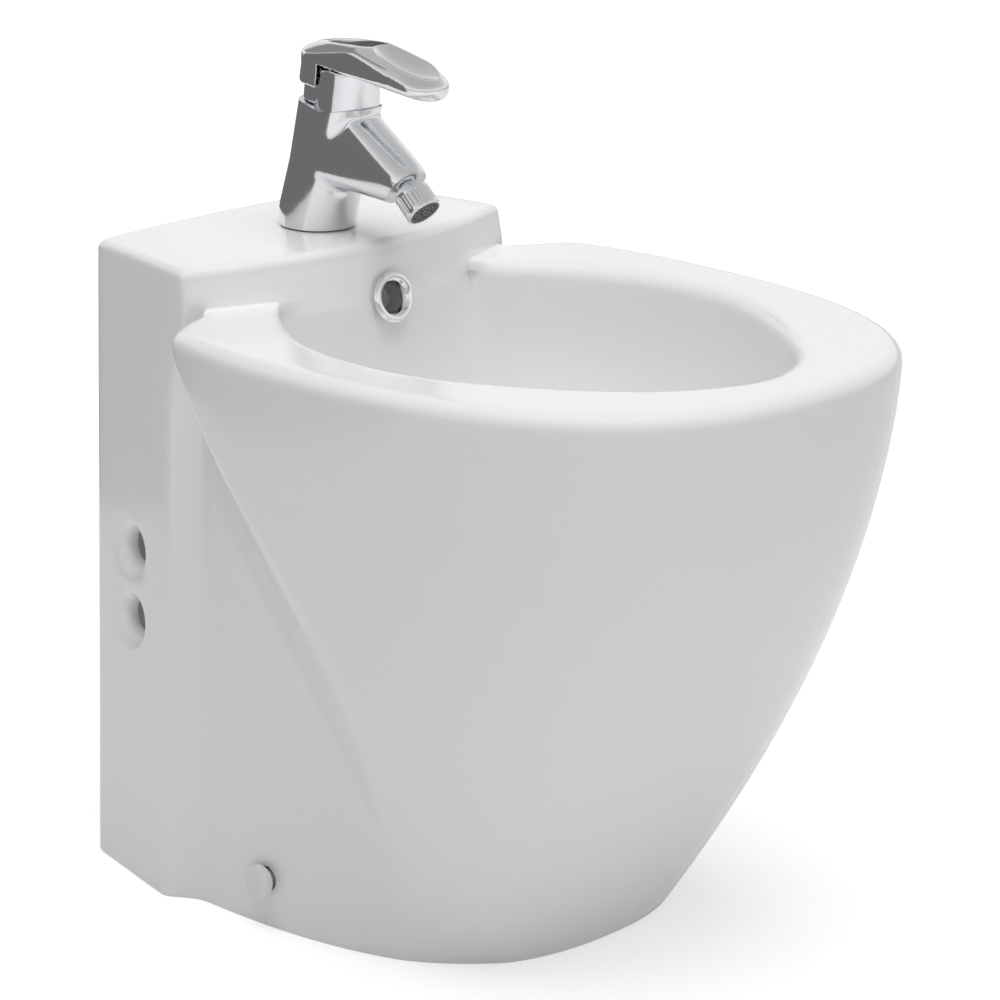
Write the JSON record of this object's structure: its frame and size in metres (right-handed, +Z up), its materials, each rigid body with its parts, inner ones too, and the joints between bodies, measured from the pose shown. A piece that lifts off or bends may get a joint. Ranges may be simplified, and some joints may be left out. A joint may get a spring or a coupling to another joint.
{
  "type": "floor-standing bidet",
  "caption": "Floor-standing ceramic bidet with a single-lever mixer tap, swivelling nozzle, push-button waste and bottle trap.",
  "frame": {"origin": "on the floor, in the middle of the bidet's bounding box", "axes": "+Z up, +Y towards the wall behind the bidet, -Y towards the front of the bowl, +X to the right of someone who faces the wall"},
  "size_m": [0.3876, 0.5218, 0.556],
  "materials": {
    "glaze": "white gloss glaze",
    "chrome_plate": "polished chrome plate",
    "raw_brass": "turned, unplated",
    "zinc_steel": "zinc plated",
    "black_rubber": "matt",
    "white_plastic": "satin moulding",
    "grey_plastic": "satin moulding",
    "index_plastic": "gloss"
  },
  "bodies": {
    "base": {"ceramic_body": "glaze", "overflow_ring": "chrome_plate", "floor_brackets": "zinc_steel", "side_screws": "zinc_steel", "side_sleeves": "grey_plastic", "screw_caps": "white_plastic", "waste_flange": "chrome_plate", "flange_gasket": "black_rubber", "cone_gasket": "black_rubber", "waste_nut": "raw_brass", "click_barrel": "grey_plastic", "click_spring": "zinc_steel", "trap_inlet_nut": "chrome_plate", "trap_inlet_seal": "black_rubber", "dip_tube": "chrome_plate", "trap_body": "chrome_plate", "trap_cup": "chrome_plate", "trap_cup_seal": "black_rubber", "outlet_nut": "chrome_plate", "outlet_seal": "black_rubber", "outlet_pipe": "chrome_plate", "tap_body": "chrome_plate", "tap_gasket": "black_rubber", "tap_stud": "zinc_steel", "clamp_rubber": "black_rubber", "clamp_plate": "zinc_steel", "stud_nut": "raw_brass", "cartridge": "white_plastic", "cartridge_seals": "black_rubber", "cartridge_nut": "raw_brass", "nozzle_stub": "chrome_plate", "stub_washer": "black_rubber"},
    "lever_turn": {"stem_carrier": "grey_plastic", "neck_cover": "chrome_plate"},
    "lever": {"lever_stem": "zinc_steel", "stem_pin": "zinc_steel", "lever_handle": "chrome_plate", "grub_screw": "zinc_steel", "index_cap": "index_plastic"},
    "nozzle_cup": {"ball_ring": "white_plastic"},
    "nozzle": {"nozzle_head": "chrome_plate", "aerator": "grey_plastic", "nozzle_seal": "black_rubber"},
    "plug": {"plug_cap": "chrome_plate", "plug_seal": "black_rubber", "plug_stem": "chrome_plate"}
  },
  "joints": [
    {"name": "lever_turn", "type": "hinge", "parent": "base", "child": "lever_turn", "pos_m": [0, 0.1584, 0.43], "axis": [0, -0.1392, 0.9903], "range_deg": [-45, 45]},
    {"name": "lever_lift", "type": "hinge", "parent": "lever_turn", "child": "lever", "pos_m": [0, 0.1449, 0.52606], "axis": [-1, 0, 0], "range_deg": [0, 15]},
    {"name": "nozzle_tilt", "type": "hinge", "parent": "base", "child": "nozzle_cup", "pos_m": [0, 0.08654, 0.46398], "axis": [1, 0, 0], "range_deg": [-10, 10]},
    {"name": "nozzle_swing", "type": "hinge", "parent": "nozzle_cup", "child": "nozzle", "pos_m": [0, 0.08654, 0.46398], "axis": [0, -0.6691, 0.7431], "range_deg": [-10, 10]},
    {"name": "plug_press", "type": "slide", "parent": "base", "child": "plug", "axis": [0, 0, -1], "range_m": [0, 0.0075], "deforming": ["click_spring"]}
  ]
}
